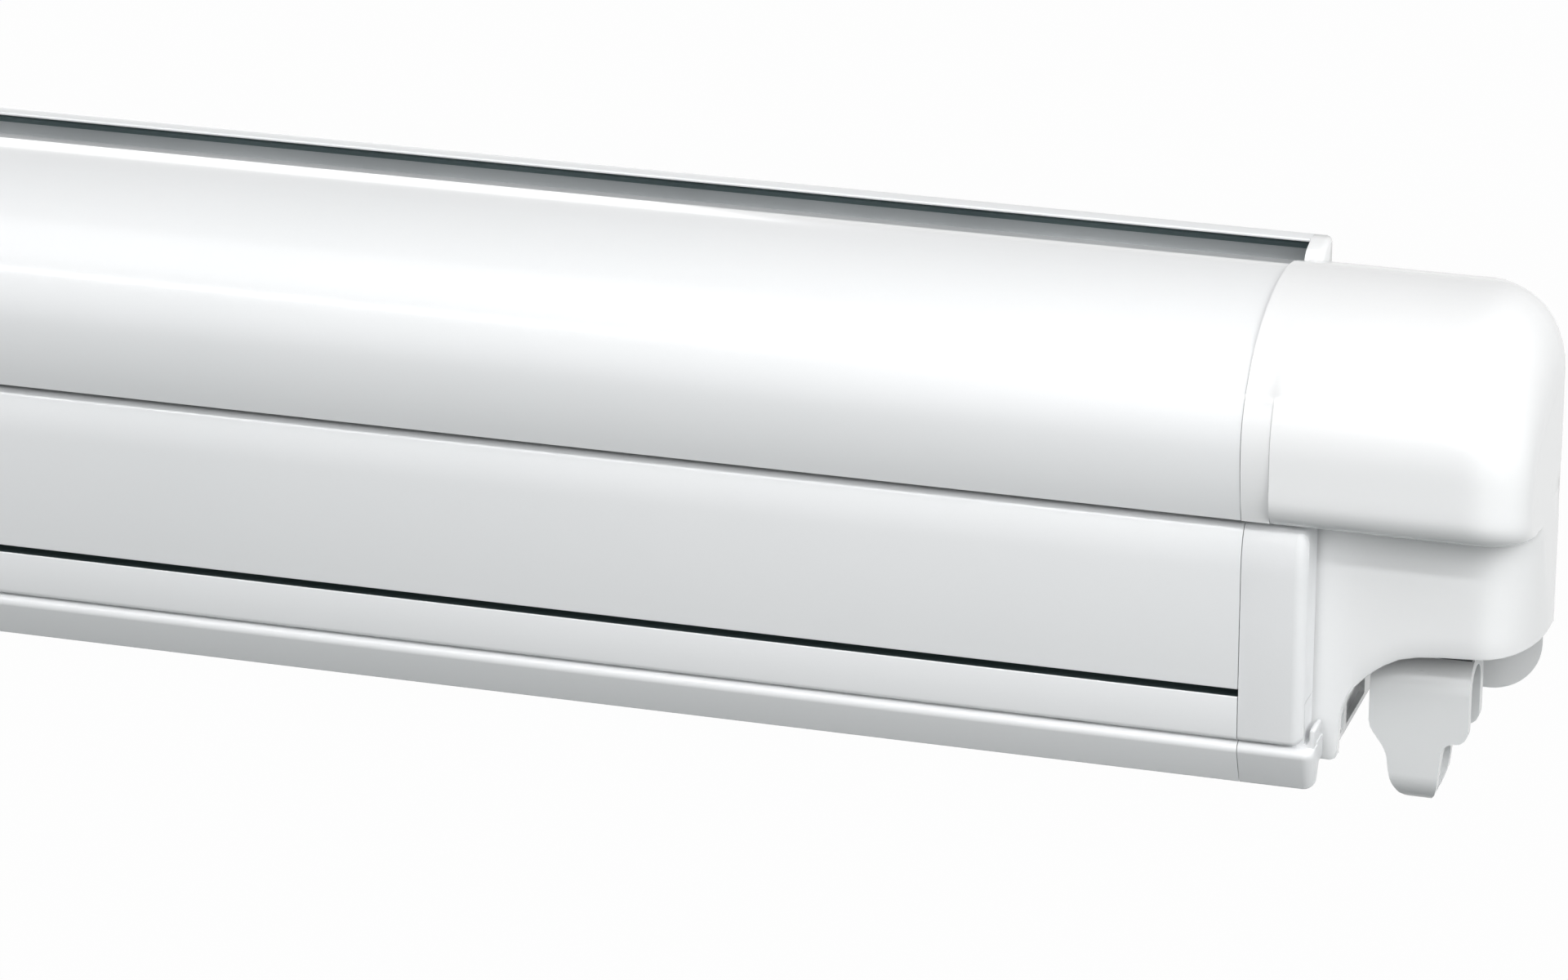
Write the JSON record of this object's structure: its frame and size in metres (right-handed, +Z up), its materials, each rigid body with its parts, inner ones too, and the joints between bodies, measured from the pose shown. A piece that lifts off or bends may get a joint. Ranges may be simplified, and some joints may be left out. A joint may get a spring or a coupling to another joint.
{
  "type": "roll out awning",
  "caption": "Wall-mounted cassette awning: long white case, fabric roller, folding arms, lead bar with support legs and crank eye.",
  "frame": {"origin": "on the flat back face of the case, at the middle of its length and at the height of the wall fixing plane", "axes": "+X along the case to its crank end, +Y into the wall, +Z up; the front looks to -Y"},
  "size_m": [1.924, 0.097, 0.138],
  "materials": {
    "case_paint": "gloss white powder coat on extruded aluminium",
    "cap_plastic": "gloss white moulded plastic",
    "trim_plastic": "satin white moulded plastic",
    "steel": "zinc plated steel",
    "canopy_fabric": "coated awning cloth",
    "bronze": "turned bronze",
    "dark_plastic": "black glass-filled nylon",
    "arm_alloy": "white powder coat on aluminium",
    "plain_alloy": "anodised aluminium"
  },
  "bodies": {
    "case": {"case_shell": "case_paint", "rail_end_plugs": "cap_plastic", "right_end_cap": "cap_plastic", "left_end_cap": "cap_plastic", "right_end_plate": "steel", "left_end_plate": "steel", "roller_bushes": "dark_plastic", "winch_housing": "dark_plastic", "right_shoulder_bracket": "arm_alloy", "left_shoulder_bracket": "arm_alloy", "shoulder_pins": "steel", "end_cap_screws": "steel"},
    "roller": {"roller_tube": "plain_alloy", "right_roller_plug": "dark_plastic", "left_roller_plug": "dark_plastic", "worm_wheel": "bronze", "canopy_roll": "canopy_fabric"},
    "canopy": {"canopy_sheet": "canopy_fabric"},
    "front_bar": {"lead_bar": "case_paint", "leg_tray": "case_paint", "right_bar_cap": "trim_plastic", "left_bar_cap": "trim_plastic", "right_tray_cap": "trim_plastic", "left_tray_cap": "trim_plastic", "front_bead": "canopy_fabric", "right_wrist_bracket": "arm_alloy", "left_wrist_bracket": "arm_alloy", "wrist_pins": "steel", "leg_pins": "steel"},
    "winch": {"winch_shaft": "steel"},
    "eye": {"crank_eye": "cap_plastic", "eye_pin": "steel"},
    "right_upper": {"right_upper_arm": "arm_alloy", "right_shoulder_knuckle": "arm_alloy", "right_elbow_fork": "arm_alloy", "right_elbow_pin": "steel", "right_arm_spring": "steel"},
    "right_fore": {"right_forearm": "arm_alloy", "right_elbow_tongue": "arm_alloy", "right_wrist_knuckle": "arm_alloy"},
    "right_leg": {"right_leg_knuckle": "dark_plastic", "right_leg_tube": "plain_alloy"},
    "right_leg_end": {"right_leg_inner": "plain_alloy", "right_foot": "dark_plastic"},
    "left_upper": {"left_upper_arm": "arm_alloy", "left_shoulder_knuckle": "arm_alloy", "left_elbow_fork": "arm_alloy", "left_elbow_pin": "steel", "left_arm_spring": "steel"},
    "left_fore": {"left_forearm": "arm_alloy", "left_elbow_tongue": "arm_alloy", "left_wrist_knuckle": "arm_alloy"},
    "left_leg": {"left_leg_knuckle": "dark_plastic", "left_leg_tube": "plain_alloy"},
    "left_leg_end": {"left_leg_inner": "plain_alloy", "left_foot": "dark_plastic"}
  },
  "joints": [
    {"name": "arm_swing", "type": "hinge", "parent": "case", "child": "right_upper", "pos_m": [0.85, -0.017, -0.02], "axis": [0, -0.1045, 0.9945], "range_deg": [0, 78]},
    {"name": "right_elbow", "type": "hinge", "parent": "right_upper", "child": "right_fore", "pos_m": [0.07, -0.02993, -0.02136], "axis": [0, -0.1045, 0.9945], "range_deg": [-157, 0]},
    {"name": "right_wrist", "type": "hinge", "parent": "right_fore", "child": "front_bar", "pos_m": [0.85, -0.04286, -0.02272], "axis": [0, -0.1045, 0.9945], "range_deg": [0, 79]},
    {"name": "left_shoulder", "type": "hinge", "parent": "case", "child": "left_upper", "pos_m": [-0.85, -0.017, -0.02], "axis": [0, -0.1045, 0.9945], "range_deg": [-79, 0]},
    {"name": "left_elbow", "type": "hinge", "parent": "left_upper", "child": "left_fore", "pos_m": [-0.07, -0.02993, -0.02136], "axis": [0, -0.1045, 0.9945], "range_deg": [0, 157]},
    {"name": "canopy_run", "type": "slide", "parent": "case", "child": "canopy", "axis": [0, -0.9945, -0.1045], "range_m": [0, 1.5073]},
    {"name": "roller_spin", "type": "hinge", "parent": "case", "child": "roller", "pos_m": [0, -0.042, 0.027], "axis": [1, 0, 0], "range_deg": [-3601, 0]},
    {"name": "winch_spin", "type": "hinge", "parent": "case", "child": "winch", "pos_m": [0.932, -0.0575, 0], "axis": [0, 0, 1], "range_deg": [0, 25201]},
    {"name": "eye_tilt", "type": "hinge", "parent": "winch", "child": "eye", "pos_m": [0.932, -0.0575, -0.044], "axis": [0, 1, 0], "range_deg": [-18, 18]},
    {"name": "right_leg_swing", "type": "hinge", "parent": "front_bar", "child": "right_leg", "pos_m": [0.845, -0.0779, -0.0546], "axis": [0, -1, 0], "range_deg": [0, 90]},
    {"name": "right_leg_slide", "type": "slide", "parent": "right_leg", "child": "right_leg_end", "axis": [-1, 0, 0], "range_m": [0, 0.7]},
    {"name": "left_leg_swing", "type": "hinge", "parent": "front_bar", "child": "left_leg", "pos_m": [-0.845, -0.0585, -0.0546], "axis": [0, 1, 0], "range_deg": [0, 90]},
    {"name": "left_leg_slide", "type": "slide", "parent": "left_leg", "child": "left_leg_end", "axis": [1, 0, 0], "range_m": [0, 0.7]}
  ],
  "couplings": [
    {"joint": "right_elbow", "follows": "arm_swing", "ratio": -2},
    {"joint": "right_wrist", "follows": "arm_swing", "ratio": 1},
    {"joint": "left_shoulder", "follows": "arm_swing", "ratio": -1},
    {"joint": "left_elbow", "follows": "arm_swing", "ratio": 2},
    {"joint": "canopy_run", "follows": "arm_swing", "m_per_rad": 1.1057},
    {"joint": "roller_spin", "follows": "arm_swing", "ratio": -46.154},
    {"joint": "winch_spin", "follows": "arm_swing", "ratio": 323.08}
  ]
}
